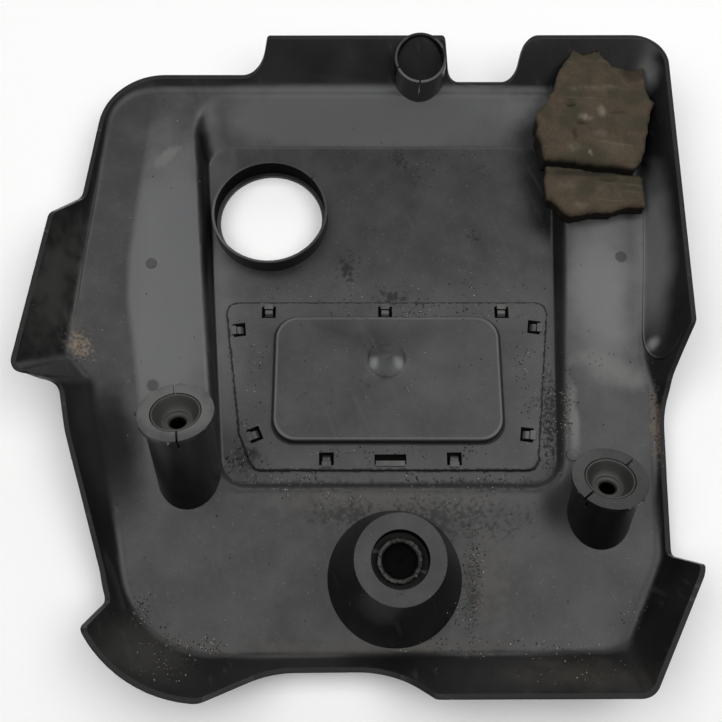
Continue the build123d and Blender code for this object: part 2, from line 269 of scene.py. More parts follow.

# %% Group: a ragged patch round one point, for stains and for painted light
shape = {"Centre": (0.0, 0.0, 0.0), "Reach": (0.01, 0.01, 0.02), "Turn": 0.0, "Raggedness": 0.8}
strength = {"Speckle": 0.5, "Core": 0.5, "Strength": 1.0, "Keep": 1.0}
ragged_patch, given = new_effect("ragged_patch_mask", {**shape, **strength}, ["Mask"])
shifted = ragged_patch.vector("SUBTRACT", given["Position"], given["Centre"])
scaled = ragged_patch.vector("DIVIDE", ragged_patch.turned(shifted, given["Turn"]), given["Reach"])
jitter = ragged_patch.times(ragged_patch.minus(given["Speckle"], 0.5), given["Raggedness"], 3.0)
spread = ragged_patch.plus(ragged_patch.vector("LENGTH", scaled), jitter)
spot = ragged_patch.ramp(spread, given["Core"], 1.05, 1.0, 0.0)
ragged_patch.give(Mask=ragged_patch.times(spot, given["Keep"], given["Strength"]))

# %% Group: fine scuffs
scuff, given = new_effect("fine_scuffs", {"Stretch": (14.0, 160.0, 60.0), "Turn": 0.4}, ["Mask"])
lined = scuff.vector("MULTIPLY", scuff.turned(given["Position"], given["Turn"]), given["Stretch"])
scuff.give(Mask=scuff.ramp(scuff.mottle(lined, scale=1.0, detail=5.0), 0.60, 0.72))

# %% Group: a dirty seam between two points
FLAT = (1.0, 1.0, 0.0)
line = {"Start": VECTOR, "End": VECTOR, "Width": 0.001}
seam, given = new_effect("dirty_seam", line, ["Mask", "Left Side"])
here = seam.vector("MULTIPLY", seam.vector("SUBTRACT", given["Position"], given["Start"]), FLAT)
run = seam.vector("MULTIPLY", seam.vector("SUBTRACT", given["End"], given["Start"]), FLAT)
run_squared = seam.vector("DOT_PRODUCT", run, run)
along = seam.maths("DIVIDE", seam.vector("DOT_PRODUCT", here, run), run_squared, clamp=True)
away = seam.vector("LENGTH", seam.vector("SUBTRACT", here, seam.stretched(run, along)))
across = seam.part("Z", seam.vector("CROSS_PRODUCT", run, here))
seam.give(
    Mask=seam.ramp(away, seam.times(given["Width"], 0.4), given["Width"], 1.0, 0.0),
    Left_Side=seam.maths("DIVIDE", across, seam.vector("LENGTH", run)),
)

# %% Group: a line that follows a rounded frame
frame_line = {"Centre": VECTOR, "Half Size": VECTOR, "Corner": 0.01, "Width": 0.001}
border, given = new_effect("rounded_border", frame_line, ["Mask"])
here = border.vector("ABSOLUTE", border.vector("SUBTRACT", given["Position"], given["Centre"]))
past = border.vector("MULTIPLY", border.vector("SUBTRACT", here, given["Half Size"]), FLAT)
past = border.vector("MULTIPLY", border.vector("ADD", past, given["Corner"]), FLAT)
beyond = border.vector("LENGTH", border.vector("MAXIMUM", past, (0.0, 0.0, 0.0)))
within = border.least(border.most(border.part("X", past), border.part("Y", past)), 0.0)
gap = border.maths("ABSOLUTE", border.minus(border.plus(beyond, within), given["Corner"]))
border.give(Mask=border.ramp(gap, 0.0, given["Width"], 1.0, 0.0))

# %% Group: dark crumbs stuck to the floor
crumb, given = new_effect("dark_crumbs", {"Crumbs per Metre": 420.0, "Spread": 0.52}, ["Mask"])
wander = crumb.put("ShaderNodeTexNoise", {"Vector": given["Position"], "Scale": 800.0}).outputs["Color"]
push = crumb.stretched(crumb.vector("SUBTRACT", wander, (0.5, 0.5, 0.5)), 0.0030)
crooked = crumb.vector("ADD", given["Position"], push)
cells = crumb.put("ShaderNodeTexVoronoi", {"Vector": crooked, "Scale": given["Crumbs per Metre"]}).outputs
chance = crumb.put("ShaderNodeSeparateColor", {0: cells["Color"]}).outputs[0]
clusters = crumb.mottle(given["Position"], scale=60.0, detail=5.0)
size = crumb.ramp(clusters, given["Spread"], crumb.plus(given["Spread"], 0.22), 0.0, 0.42)
crumb.give(Mask=crumb.ramp(crumb.minus(cells["Distance"], crumb.times(size, chance)), 0.03, -0.05))

# %% [markdown]
# ## Satin black plastic
# The cover is glass-filled plastic: black, with a fine grain, a little glossier where hands have rubbed
# it. Dust lies on level faces, and the marks of use are laid on one by one: a pale smear on the left
# shoulder, a patch of orange dust where the wing ends, brown dirt at the low right edge and in front of
# the plate, and a lighter grey on both shoulders. Some marks are painted light: the channel at the foot of
# the right skirt is painted lighter, and painted highlights sit at its rounded end, in the back right
# corner and on both sides of the dome. A Bevel node rounds the normals at hard edges, so that rims catch
# a thin line of light as moulded edges do.

# %% Material helper
class Finish(Net):
    """A new material: a net round a Principled shader, which reads Object coordinates."""

    def __init__(self, name):
        self.material = bpy.data.materials.new(name)
        self.material.use_nodes = True
        super().__init__(self.material.node_tree)
        self.where = self.put("ShaderNodeTexCoord").outputs["Object"]

    def use(self, group, **values):
        return super().use(group, Position=self.where, **values)

    def tint(self, mask, under, over):
        return self.put("ShaderNodeMix", {0: mask, 6: under, 7: over}, data_type="RGBA").outputs[2]

    def bumpy(self, height, strength, distance, under=None):
        sockets = {"Height": height, "Strength": strength, "Distance": distance}
        if under:
            sockets["Normal"] = under
        return self.put("ShaderNodeBump", sockets).outputs[0]

    def round_edges(self, radius):
        return self.put("ShaderNodeBevel", {"Radius": radius}, samples=4).outputs[0]

    def shade(self, **values):
        self.feed_named(self.tree.nodes["Principled BSDF"].inputs, values)
        print("material:", self.material.name)


def metres(*millimetres):
    return tuple(v / 1000 for v in millimetres)


print("material helper ready")

# %% List the marks of use and the painted light
# Each mark has its centre, reach and turn, then raggedness, specks per metre, core, strength, whether it
# keeps to level faces, and its colour. Lengths are millimetres.
marks = [
    ((-153.7, 108.0, 22), (13.5, 5.5, 20), -0.80, 0.34, 420, 0.50, 0.80, 0, (0.150, 0.140, 0.112, 1)),
    ((-201.0, -36.0, 25), (9.5, 15.0, 20), -0.60, 0.75, 420, 0.00, 0.75, 0, (0.210, 0.150, 0.098, 1)),
    ((176.5, -90.0, 12), (4.5, 28.0, 20), 0.05, 0.90, 420, 0.20, 0.80, 0, (0.075, 0.056, 0.036, 1)),
    ((0.0, -137.0, 8), (105.0, 17.0, 20), 0.00, 0.90, 160, 0.00, 0.55, 1, (0.044, 0.038, 0.030, 1)),
    ((64.0, -185.0, 6), (20.0, 40.0, 20), 0.10, 0.90, 160, 0.00, 0.55, 1, (0.046, 0.039, 0.030, 1)),
    ((0.0, -228.0, 8), (140.0, 11.0, 20), 0.00, 0.80, 160, 0.00, 0.60, 1, (0.036, 0.030, 0.022, 1)),
    # Lighter grey over the right shoulder.
    ((148.0, 4.0, 20), (35.0, 86.0, 60), 0.00, 0.20, 50, 0.20, 0.95, 1, (0.118, 0.118, 0.118, 1)),
    # Painted light: the channel at the foot of the right skirt is painted lighter, then a painted highlight
    # at its rounded end.
    ((183.0, 28.0, 28), (14.0, 80.0, 32), 0.097, 0.12, 50, 0.30, 0.90, 0, (0.130, 0.130, 0.131, 1)),
    ((178.5, -36.0, 20), (5.0, 6.5, 12), 0.30, 0.15, 90, 0.00, 0.85, 0, (0.240, 0.240, 0.240, 1)),
    # Painted highlight in the back right corner.
    ((192.0, 163.0, 40), (9.0, 15.0, 26), 0.00, 0.30, 50, 0.00, 0.75, 0, (0.150, 0.150, 0.150, 1)),
    # Lighter grey on the two front lobes of the skirt.
    ((-146.0, -230.0, 22), (46.0, 32.0, 40), 0.00, 0.25, 90, 0.00, 0.75, 0, (0.032, 0.031, 0.026, 1)),
    ((112.0, -244.0, 20), (62.0, 16.0, 40), 0.00, 0.35, 90, 0.00, 0.70, 0, (0.036, 0.032, 0.025, 1)),
    ((-216.0, 2.0, 36), (22.0, 66.0, 40), 0.15, 0.50, 90, 0.00, 0.65, 0, (0.050, 0.049, 0.043, 1)),
    ((152.0, -52.0, 14), (36.0, 12.0, 30), 0.35, 0.40, 90, 0.10, 0.75, 1, (0.110, 0.108, 0.104, 1)),
    ((124.0, -86.0, 10), (4.5, 40.0, 30), 0.00, 0.45, 90, 0.10, 0.75, 0, (0.120, 0.118, 0.114, 1)),
    ((98.0, 150.0, 16), (34.0, 15.0, 30), 0.00, 0.45, 90, 0.00, 0.65, 0, (0.105, 0.106, 0.108, 1)),
    ((-124.5, -97.0, 60), (29.0, 28.0, 18), 0.00, 0.30, 90, 0.60, 0.95, 1, (0.120, 0.118, 0.113, 1)),
    # Painted highlights on both sides of the dome on the panel.
    ((-6.0, -46.5, 10), (4.5, 6.5, 20), 0.30, 0.25, 160, 0.10, 0.75, 0, (0.150, 0.154, 0.160, 1)),
    ((10.6, -46.5, 10), (4.5, 6.5, 20), -0.30, 0.25, 160, 0.10, 0.75, 0, (0.150, 0.154, 0.160, 1)),
]
print("marks of use:", len(marks))

# %% Build the satin plastic
satin = Finish("satin_black_plastic")
moulded = satin.use(grain, Grains_per_Metre=1100.0)
settled = satin.use(dust, Specks_per_Metre=520.0, Amount=0.40)
rubbed = satin.use(scuff, Turn=1.2)["Mask"]
colour = satin.tint(moulded["Patches"], (0.0040, 0.0041, 0.0045, 1), (0.0066, 0.0068, 0.0074, 1))
colour = satin.tint(satin.times(rubbed, 0.30), colour, (0.034, 0.034, 0.035, 1))
colour = satin.tint(settled["Film"], colour, (0.050, 0.051, 0.052, 1))
colour = satin.tint(satin.times(settled["Specks"], 0.6), colour, (0.15, 0.145, 0.135, 1))
speckles = {scale: satin.mottle(satin.where, scale, detail=4.0) for scale in (50, 90, 160, 300, 420, 700)}
facing_up = satin.part("Z", satin.put("ShaderNodeNewGeometry").outputs["Normal"])
level_face = satin.ramp(facing_up, 0.85, 0.96)


def lay_mark(centre, reach, turn, rag, specks, core, strength, keep=1.0):
    place = {"Centre": metres(*centre), "Reach": metres(*reach), "Turn": turn}
    ragged = {"Raggedness": rag, "Speckle": speckles[specks], "Core": core}
    return satin.use(ragged_patch, Strength=strength, Keep=keep, **place, **ragged)["Mask"]


# The mask of every mark, dirt and painted light alike, makes the face rougher.
dirt_and_painted_light = 0.0
for *shape, on_level_only, paint in marks:
    mark = lay_mark(*shape, level_face if on_level_only else 1.0)
    colour = satin.tint(mark, colour, paint)
    dirt_and_painted_light = satin.most(mark, dirt_and_painted_light)
print("marks laid:", len(marks))

# %% [markdown]
# The left shoulder and the band behind the plateau carry a pale film with painted light: on the shoulder
# it ends at a crease, so the face right of the crease is painted lighter, and behind the plateau it covers
# only the sloped band. The crease on the left shoulder is a bend of a few degrees: a height that grows to
# the left of the line bends the normals there.

# %% Add the films and the bend of the left shoulder
crease = [(-166.2, 172.0), (-175.5, 30.6), (-174.2, 0.0), (-160.5, -75.0)]
sides = []
for start, end in zip(crease, crease[1:]):
    line = satin.use(seam, Start=metres(*start, 0), End=metres(*end, 0))
    sides.append(line["Left Side"])
right_of = satin.least(*sides)
soft = {"turn": 0.0, "specks": 50}
shoulder = lay_mark(
    (-148, 10, 20), (60, 160, 60), rag=0.16, core=0.40, strength=0.90, keep=level_face, **soft
)
# Pale film with painted light: it stops at the crease, so the face right of it is painted lighter.
film_and_facet_light = satin.times(shoulder, satin.ramp(right_of, -0.002, 0.004))
colour = satin.tint(film_and_facet_light, colour, (0.084, 0.085, 0.088, 1))
left_of = satin.most(satin.least(right_of, 0.0), -0.03)
bend = satin.times(left_of, -0.10, satin.ramp(satin.part("Y", satin.where), -0.125, -0.055))
step_line = satin.use(seam, Start=(-0.137, 0.1268, 0), End=(0.111, 0.1268, 0))["Left Side"]
# Pale film with painted light on the sloped band behind the plateau.
behind = lay_mark((-10, 148, 10), (135, 36, 60), rag=0.2, core=0.60, strength=0.80, **soft)
band = satin.times(satin.ramp(step_line, -0.0005, 0.0015), satin.ramp(step_line, 0.0410, 0.0385))
colour = satin.tint(satin.times(behind, band), colour, (0.064, 0.065, 0.067, 1))
print("crease lines:", len(sides))

# %% [markdown]
# Dirt collects along the joint round the plate. The foot of the raised panel gets a dark line, dirt with
# painted shade, and its rounded edge gets a painted highlight. The joint turns its corners in short arcs,
# so its line is walked corner by corner.

# %% Add the seams and the panel edge
def rounded_walk(corners, radius, steps):
    walked = []
    for before, at, after in zip(corners[-1:] + corners[:-1], corners, corners[1:] + corners[:1]):
        at = Vector(at)
        a, b = (Vector(before) - at).normalized(), (Vector(after) - at).normalized()
        half = a.angle(b) / 2
        middle = at + (a + b).normalized() * radius / math.sin(half)
        start, end = at + a * radius / math.tan(half), at + b * radius / math.tan(half)
        for k in range(steps + 1):
            out = (start - middle).lerp(end - middle, k / steps).normalized()
            walked.append(middle + out * radius)
    return walked


seat_corners = [(-108.0, 0.5), (114.0, 0.5), (100.0, -117.5), (-84.0, -117.5), (-94.5, -93.5)]
seat = rounded_walk(seat_corners, radius=7.0, steps=2)
seam_width = satin.ramp(satin.mottle(satin.where, 350.0), 0.30, 0.70, 0.0005, 0.0018)
seams = 0.0
for a, b in zip(seat, seat[1:] + seat[:1]):
    line = satin.use(seam, Start=metres(*a, 0), End=metres(*b, 0), Width=seam_width)
    seams = satin.most(line["Mask"], seams)
panel = {"Centre": (0.00315, -0.05565, 0.0), "Corner": 0.015}
# At the foot of the raised panel a dark line of dirt and painted shade; on its rounded edge a painted
# highlight.
panel_foot_dirt_and_shade = satin.use(border, Half_Size=(0.0765, 0.0445, 1.0), Width=0.0013, **panel)["Mask"]
panel_edge_highlight = satin.use(border, Half_Size=(0.0744, 0.0424, 1.0), Width=0.0016, **panel)["Mask"]
colour = satin.tint(satin.times(panel_edge_highlight, 0.50), colour, (0.120, 0.122, 0.125, 1))
print("seam pieces:", len(seat))

# %% [markdown]
# Dark crumbs stick to the level faces, most of them near the joint of the plate. Oily dirt lies in a few
# places of its own: left of the right tower, beside the boss and in the crack of its ring. Painted shade
# darkens the low left foot and the far side of the dome on the panel. Below the list, a loop adds the
# dark rounds that the ejector pins of the mould have left on the shoulders.

# %% List the oily dirt and the painted shade
darkened = [
    ((109.0, -143.0, 4), (15.0, 22.0, 14), 0.20, 0.25, 50, 0.10, 0.75),
    # Painted shade at the low left foot, left of the left tower.
    ((-174.0, -106.0, 12), (23.0, 62.0, 40), -0.25, 0.20, 50, 0.25, 0.95),
    ((-90.0, -110.0, 5), (13.0, 13.0, 10), 0.00, 0.90, 300, 0.00, 0.80),
    ((110.0, -86.0, 6), (6.5, 42.0, 14), 0.06, 1.10, 420, 0.00, 0.85),
    ((-24.0, 28.0, 3), (9.0, 13.0, 10), 0.30, 1.30, 300, 0.00, 0.80),
    ((6.0, 6.0, 3), (12.0, 8.0, 10), 0.00, 1.30, 300, 0.00, 0.80),
    ((14.0, 116.0, 4), (6.0, 11.0, 10), -0.50, 1.20, 300, 0.00, 0.75),
    ((67.0, 50.0, 4), (6.0, 9.0, 10), -0.50, 1.20, 300, 0.00, 0.75),
    ((8.6, -197.2, 34), (2.2, 4.0, 6), 0.10, 0.90, 420, 0.20, 0.95),
    ((54.0, -192.0, 4), (6.0, 32.0, 12), 0.05, 1.40, 700, 0.00, 0.50),
    # Painted shade on the far side of the dome on the panel.
    ((2.5, -33.0, 10), (9.0, 3.5, 10), 0.00, 0.30, 160, 0.00, 0.45),
    ((10.0, 121.0, 6), (52.0, 6.0, 14), 0.02, 1.30, 420, 0.00, 0.40),
    ((60.0, -127.0, 6), (60.0, 5.0, 14), 0.00, 1.20, 300, 0.00, 0.60),
    ((-40.0, -127.0, 6), (50.0, 5.0, 14), 0.00, 1.20, 300, 0.00, 0.60),
    ((40.0, -150.0, 6), (50.0, 14.0, 14), 0.00, 1.40, 420, 0.00, 0.55),
    ((-24.0, -146.0, 6), (26.0, 10.0, 14), 0.00, 1.40, 420, 0.00, 0.55),
]
for pin in ((-159.0, 25.0, 18), (-152.0, -62.0, 18), (165.0, 30.0, 18)):
    darkened.append((pin, (4.0, 4.0, 12), 0.00, 0.12, 90, 0.80, 0.50))
print("oily places:", len(darkened))

# %% Add the crumbs, the oily dirt and the painted shade
plate = {"Centre": (0.003, -0.0585, 0.0), "Half_Size": (0.104, 0.0595, 1.0), "Corner": 0.008}
near_plate = satin.use(border, Width=0.034, **plate)["Mask"]
colour = satin.tint(satin.times(near_plate, 0.20), colour, (0.085, 0.085, 0.087, 1))
spread = satin.minus(0.66, satin.times(near_plate, 0.22))
crumbs = satin.use(crumb, Crumbs_per_Metre=460.0, Spread=spread)["Mask"]
black = satin.times(crumbs, satin.ramp(settled["Film"], 0.0, 0.02))
black = satin.most(black, satin.times(seams, 0.85), satin.times(panel_foot_dirt_and_shade, 0.9))
for row in darkened:
    black = satin.most(lay_mark(*row), black)
print("dirt laid on", satin.material.name)

# %% Connect the shader of the satin plastic
rough = satin.plus(satin.times(moulded["Patches"], 0.07), 0.36)
rough = satin.plus(rough, satin.times(dirt_and_painted_light, 0.12), satin.times(rubbed, 0.08))
dome = {"Centre": (0.0025, -0.044, 0.010), "Reach": (0.0145, 0.0145, 0.02), "Raggedness": 0.0, "Core": 0.25}
normal = satin.bumpy(satin.use(ragged_patch, **dome)["Mask"], 1.0, 0.0022, satin.round_edges(0.0007))
normal = satin.bumpy(bend, 1.0, 1.0, normal)
normal = satin.bumpy(crumbs, 0.5, 0.0006, normal)
satin.shade(
    Base_Color=satin.tint(black, colour, (0.0025, 0.0024, 0.0022, 1)),
    Roughness=satin.maths("ADD", rough, satin.times(black, 0.50), clamp=True),
    Normal=satin.bumpy(moulded["Height"], 0.10, 0.0004, normal),
)

# %% [markdown]
# ## Deep shadow
# Some faces lie where light hardly reaches: the ground under the clip slots, the ends of blind holes and
# the walls of the boss cup and the filler collar. They get a matt black of their own, with a little
# mottling, as painted shade.

# %% Build the painted shade
painted_shade = Finish("oily_soot")
mottling = painted_shade.use(grain, Grains_per_Metre=600.0)["Height"]
painted_shade.shade(
    Base_Color=painted_shade.tint(mottling, (0.0008, 0.0008, 0.0009, 1), (0.0030, 0.0029, 0.0026, 1)),
    Roughness=0.9,
    Specular_IOR_Level=0.06,
)

# %% [markdown]
# ## Rubber and clip plastic
# The sockets and the sleeve are soft grey-black rubber. It is rougher than the plastic and has a bloom of
# dust. The trim plate and its clips are a softer plastic than the cover. It is a little greyer and holds
# more dust. Both are built alike: two tones in patches, a film of dust, a few pale specks and a fine
# grain.

# %% Build the rubber and the clip plastic
def dusty_finish(name, grains, specks, amount, tones, dust_tones, rough, patchy, bump):
    finish = Finish(name)
    moulded = finish.use(grain, Grains_per_Metre=grains)
    settled = finish.use(dust, Specks_per_Metre=specks, Amount=amount)
    colour = finish.tint(moulded["Patches"], *tones)
    colour = finish.tint(settled["Film"], colour, dust_tones[0])
    finish.shade(
        Base_Color=finish.tint(settled["Specks"], colour, dust_tones[1]),
        Roughness=finish.plus(finish.times(moulded["Patches"], patchy), rough),
        Normal=finish.bumpy(moulded["Height"], *bump),
    )
    return finish


rubber = dusty_finish(
    "dusty_rubber",
    grains=700.0,
    specks=800.0,
    amount=0.45,
    tones=((0.016, 0.017, 0.0145, 1), (0.026, 0.026, 0.022, 1)),
    dust_tones=((0.055, 0.054, 0.047, 1), (0.15, 0.145, 0.13, 1)),
    rough=0.50,
    patchy=0.12,
    bump=(0.25, 0.0005),
)
clip = dusty_finish(
    "dusty_clip_plastic",
    grains=900.0,
    specks=900.0,
    amount=0.9,
    tones=((0.012, 0.012, 0.0125, 1), (0.022, 0.022, 0.0225, 1)),
    dust_tones=((0.085, 0.083, 0.078, 1), (0.20, 0.19, 0.17, 1)),
    rough=0.34,
    patchy=0.1,
    bump=(0.15, 0.0004),
)

# %% [markdown]
# ## Foam
# The pads are cut from brown sound foam. Its skin is worn: olive and reddish patches, open pores, and pale
# creases in the middle of the upper pad where the skin has rubbed through. Two attributes, written when
# the pads are built, steer the material: wear marks the pale creases, and shade is painted shade on the
# cut sides and along the joint of the two pads; it also darkens the flap and the deepest creases of the
# upper pad.

# %% Build the foam material
foam = Finish("worn_foam")
pores = foam.put("ShaderNodeTexVoronoi", {"Vector": foam.where, "Scale": 1500.0}).outputs["Distance"]
fibres = foam.use(grain, Grains_per_Metre=520.0)["Height"]
streaks = foam.use(scuff, Stretch=(40.0, 260.0, 90.0), Turn=0.12)["Mask"]
wear = foam.put("ShaderNodeAttribute", attribute_name="wear").outputs["Fac"]
shade = foam.put("ShaderNodeAttribute", attribute_name="shade").outputs["Fac"]
blotches = foam.ramp(foam.mottle(foam.where, 58.0, detail=4.0), 0.36, 0.64)
colour = foam.tint(blotches, (0.042, 0.037, 0.023, 1), (0.068, 0.050, 0.034, 1))
foam_layers = [
    (foam.times(foam.ramp(fibres, 0.40, 0.64), 0.32), (0.032, 0.026, 0.018, 1)),
    (foam.times(streaks, 0.28), (0.120, 0.098, 0.070, 1)),
    (foam.times(foam.ramp(pores, 0.10, 0.02), 0.4), (0.020, 0.016, 0.011, 1)),
    (wear, (0.165, 0.145, 0.115, 1)),
    # Painted shade, steered by the shade attribute.
    (shade, (0.011, 0.009, 0.007, 1)),
]
for mask, paint in foam_layers:
    colour = foam.tint(mask, colour, paint)
foam.shade(
    Base_Color=colour,
    Roughness=foam.plus(foam.times(pores, 0.1), 0.88),
    Specular_IOR_Level=0.2,
    Normal=foam.bumpy(foam.plus(foam.times(pores, 0.5), fibres), 0.35, 0.0008),
)

# %% [markdown]
# ## Shading of the CAD pieces
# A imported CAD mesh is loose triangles, which would shade flat. A short Geometry Nodes tree joins them,
# smooths the faces and keeps edges sharper than its angle input. It stays on the pieces as a live
# modifier, so the CAD meshes are not touched.

# %% Build the shading tree and dress the CAD pieces
def add_modifier(thing, net, **values):
    modifier = thing.modifiers.new(net.tree.name, "NODES")
    modifier.node_group = net.tree
    ids = {i.name: i.identifier for i in net.tree.interface.items_tree if i.in_out == "INPUT"}
    for label, value in values.items():
        modifier[ids[label.replace("_", " ")]] = value


sharp_angle = {"Geometry": GEOMETRY, "Sharp Angle": math.radians(32)}
joined, given = new_group("GeometryNodeTree", "joined_and_smooth", sharp_angle, ["Geometry"])
merged = joined.put("GeometryNodeMergeByDistance", {"Geometry": given["Geometry"], "Distance": 0.00001})
plain = joined.put("GeometryNodeRemoveAttribute", {"Geometry": merged.outputs[0], "Name": "custom_normal"})
smooth = joined.put("GeometryNodeSetShadeSmooth", {"Geometry": plain.outputs[0]}, domain="FACE")
angle = joined.put("GeometryNodeInputMeshEdgeAngle").outputs["Unsigned Angle"]
limits = {"A": angle, "B": given["Sharp Angle"]}
steep = joined.put("FunctionNodeCompare", limits, data_type="FLOAT", operation="GREATER_THAN")
edges = {"Geometry": smooth.outputs[0], "Selection": steep.outputs["Result"], "Shade Smooth": False}
joined.give(Geometry=joined.put("GeometryNodeSetShadeSmooth", edges, domain="EDGE").outputs[0])
finishes = {
    "cover_shell": satin,
    "trim_plate": clip,
    "left_grommet": rubber,
    "right_grommet": rubber,
    "boss_grommet": rubber,
}
for name, finish in finishes.items():
    nodes[name].material_slots[0].material = finish.material
    add_modifier(nodes[name], joined)
print("dressed:", sorted(finishes))

# %% [markdown]
# The trim plate shows only through the clip slots. A second tree puts the black of painted shade on those
# of its faces that look up and lie below the hooks.

# %% Blacken the ground under the clip slots
def painted(net, geometry, material, selection=True):
    sockets = {"Geometry": geometry, "Selection": selection, "Material": material}
    return net.put("GeometryNodeSetMaterial", sockets).outputs[0]


below, given = new_tree("painted_shade_below", Level=0.0025)
height = below.part("Z", below.put("GeometryNodeInputPosition").outputs[0])
look = below.part("Z", below.put("GeometryNodeInputNormal").outputs[0])
low = below.maths("LESS_THAN", height, given["Level"])
chosen = below.times(low, below.maths("GREATER_THAN", look, 0.5))
below.give(Geometry=painted(below, given["Geometry"], given["Material"], chosen))
add_modifier(nodes["trim_plate"], below, Material=painted_shade.material)
print("soot on the trim plate")

# %% [markdown]
# The walls of the boss cup and of the filler collar get the black of painted shade. This tree asks how far
# a face lies from an axis, and blackens what is inside a radius and between two levels along that axis.

# %% Blacken the boss cup and the filler collar
def mount_axis(name):
    return Vector(mounts[name]["axis"]).normalized()


def mount_place(name):
    return Vector(mounts[name]["pos_m"])


bore, given = new_tree(
    "painted_shade_in_bore", Centre=VECTOR, Axis=(0.0, 0.0, 1.0), Radius=0.018, Low=0.0, High=0.01
)
here = bore.vector("SUBTRACT", bore.put("GeometryNodeInputPosition").outputs[0], given["Centre"])
along = bore.vector("DOT_PRODUCT", here, given["Axis"])
out_from = bore.vector("LENGTH", bore.vector("CROSS_PRODUCT", here, given["Axis"]))
chosen = bore.times(
    bore.maths("LESS_THAN", out_from, given["Radius"]),
    bore.maths("GREATER_THAN", along, given["Low"]),
    bore.maths("LESS_THAN", along, given["High"]),
)
bore.give(Geometry=painted(bore, given["Geometry"], given["Material"], chosen))
filler = mount_place("filler_opening")
boss_cup = {"Centre": mount_place("boss_socket"), "Axis": mount_axis("boss_socket")}
collar = {"Centre": filler, "Axis": Vector((0, 0, 1))}
shell = nodes["cover_shell"]
add_modifier(shell, bore, Radius=0.0181, Low=-0.001, High=0.0146, Material=painted_shade.material, **boss_cup)
add_modifier(shell, bore, Radius=0.0392, Low=0.0018, High=0.0145, Material=painted_shade.material, **collar)
print("soot in the boss cup and the filler collar")

# %% [markdown]
# The top of the skirt was trimmed and is duller than the moulded faces. To find it, the tree stands on
# each face, steps a little to eight sides and looks straight down. On the rim, one of those looks meets
# nothing, because outside the rim there is no cover any more.

# %% Build the finish of the trimmed rim
dull = Finish("trimmed_edge_plastic")
moulded = dull.use(grain, Grains_per_Metre=800.0)
rubbed = dull.use(scuff, Turn=0.3)["Mask"]
colour = dull.tint(moulded["Patches"], (0.007, 0.007, 0.0073, 1), (0.012, 0.012, 0.0124, 1))
dull.shade(
    Base_Color=dull.tint(dull.times(rubbed, 0.5), colour, (0.050, 0.050, 0.050, 1)),
    Roughness=dull.plus(dull.times(moulded["Patches"], 0.1), 0.50),
    Specular_IOR_Level=0.22,
    Normal=dull.bumpy(moulded["Height"], 0.15, 0.0004, dull.round_edges(0.0009)),
)

# %% Dull the trimmed rim
rim, given = new_tree("dull_rim", Side_Step=0.0042, Lowest=0.0075)
looks, look_from, look_length = 8, (0.0, 0.0, 0.02), 0.3
collar_reach = 0.048
place = rim.put("GeometryNodeInputPosition").outputs[0]
normal = rim.put("GeometryNodeInputNormal").outputs[0]
empty = 0.0
for k in range(looks):
    turn = 2 * math.pi * k / looks
    step = rim.stretched((math.cos(turn), math.sin(turn), 0.0), given["Side Step"])
    ray = {
        "Target Geometry": given["Geometry"],
        "Source Position": rim.vector("ADD", rim.vector("ADD", place, step), look_from),
        "Ray Direction": (0.0, 0.0, -1.0),
        "Ray Length": look_length,
    }
    probe = rim.put("GeometryNodeRaycast", ray, data_type="FLOAT")
    empty = rim.most(rim.minus(1.0, probe.outputs["Is Hit"]), empty)
from_collar = rim.vector("MULTIPLY", rim.vector("SUBTRACT", place, filler), FLAT)
chosen = rim.times(
    rim.maths("GREATER_THAN", rim.part("Z", place), given["Lowest"]),
    rim.maths("GREATER_THAN", rim.part("Z", normal), 0.85),
    rim.maths("GREATER_THAN", rim.vector("LENGTH", from_collar), collar_reach),
    empty,
)
rim.give(Geometry=painted(rim, given["Geometry"], given["Material"], chosen))
add_modifier(shell, rim, Material=dull.material)
print("rim dulled, looks round each face:", looks)

# %% [markdown]
# ## Placing pieces on the cover
# New pieces have to sit on the real surface. A search tree over the CAD cover gives the height of the
# floor under any point, and a small helper turns a finished bmesh into a piece that rides on the cover.

# %% Define the surface search and the mesh helper
cover_tree = BVHTree.FromPolygons(
    [v.co for v in shell.data.vertices],
    [tuple(p.vertices) for p in shell.data.polygons],
)


def floor_height(x, y, start=0.2):
    hit = cover_tree.ray_cast(Vector((x, y, start)), Vector((0, 0, -1)))
    return hit[0].z if hit[0] else 0.0


def finish_piece(name, bm, finish):
    mesh = bpy.data.meshes.new(name)
    bmesh.ops.recalc_face_normals(bm, faces=bm.faces)
    bm.to_mesh(mesh)
    bm.free()
    mesh.materials.append(finish.material)
    mesh.shade_smooth()
    piece = link(bpy.data.objects.new(name, mesh))
    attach(piece, "root")
    return piece


print("floor at the origin:", round(floor_height(0, 0.02), 5))

# %% [markdown]
# ## Foam pads
# Each pad is one slab of foam with torn, rounded edges. Its outline is walked in small steps and pushed in
# and out by noise, then filled with even triangles. The top is crumpled, the sides come down in rings, and
# the underside follows the cover, with a level part where the pad bridges the step down to the plateau.

# %% Measure and fill an outline
def ring_pairs(points):
    return zip(points, points[1:] + points[:1])


def ragged_outline(corners, step, depth, seed):
    walked = []
    for start, end in ring_pairs(corners):
        a, b = Vector(start), Vector(end)
        count = max(1, round((b - a).length / step))
        side = Vector((b.y - a.y, a.x - b.x)).normalized()
        for k in range(count):
            p = a.lerp(b, k / count)
            push = noise.fractal(Vector((p.x * 160, p.y * 160, seed)), 1.0, 2.0, 3)
            walked.append(p + side * push * depth)
    return walked


def edge_distance(p, outline):
    best = 1.0
    for a, b in ring_pairs(outline):
        ab = b - a
        t = max(0.0, min(1.0, (p - a).dot(ab) / max(ab.length_squared, 1e-12)))
        best = min(best, (p - a - ab * t).length)
    return best


def inside(p, outline):
    odd = False
    for a, b in ring_pairs(outline):
        if (a.y > p.y) != (b.y > p.y) and p.x < a.x + (p.y - a.y) * (b.x - a.x) / (b.y - a.y):
            odd = not odd
    return odd


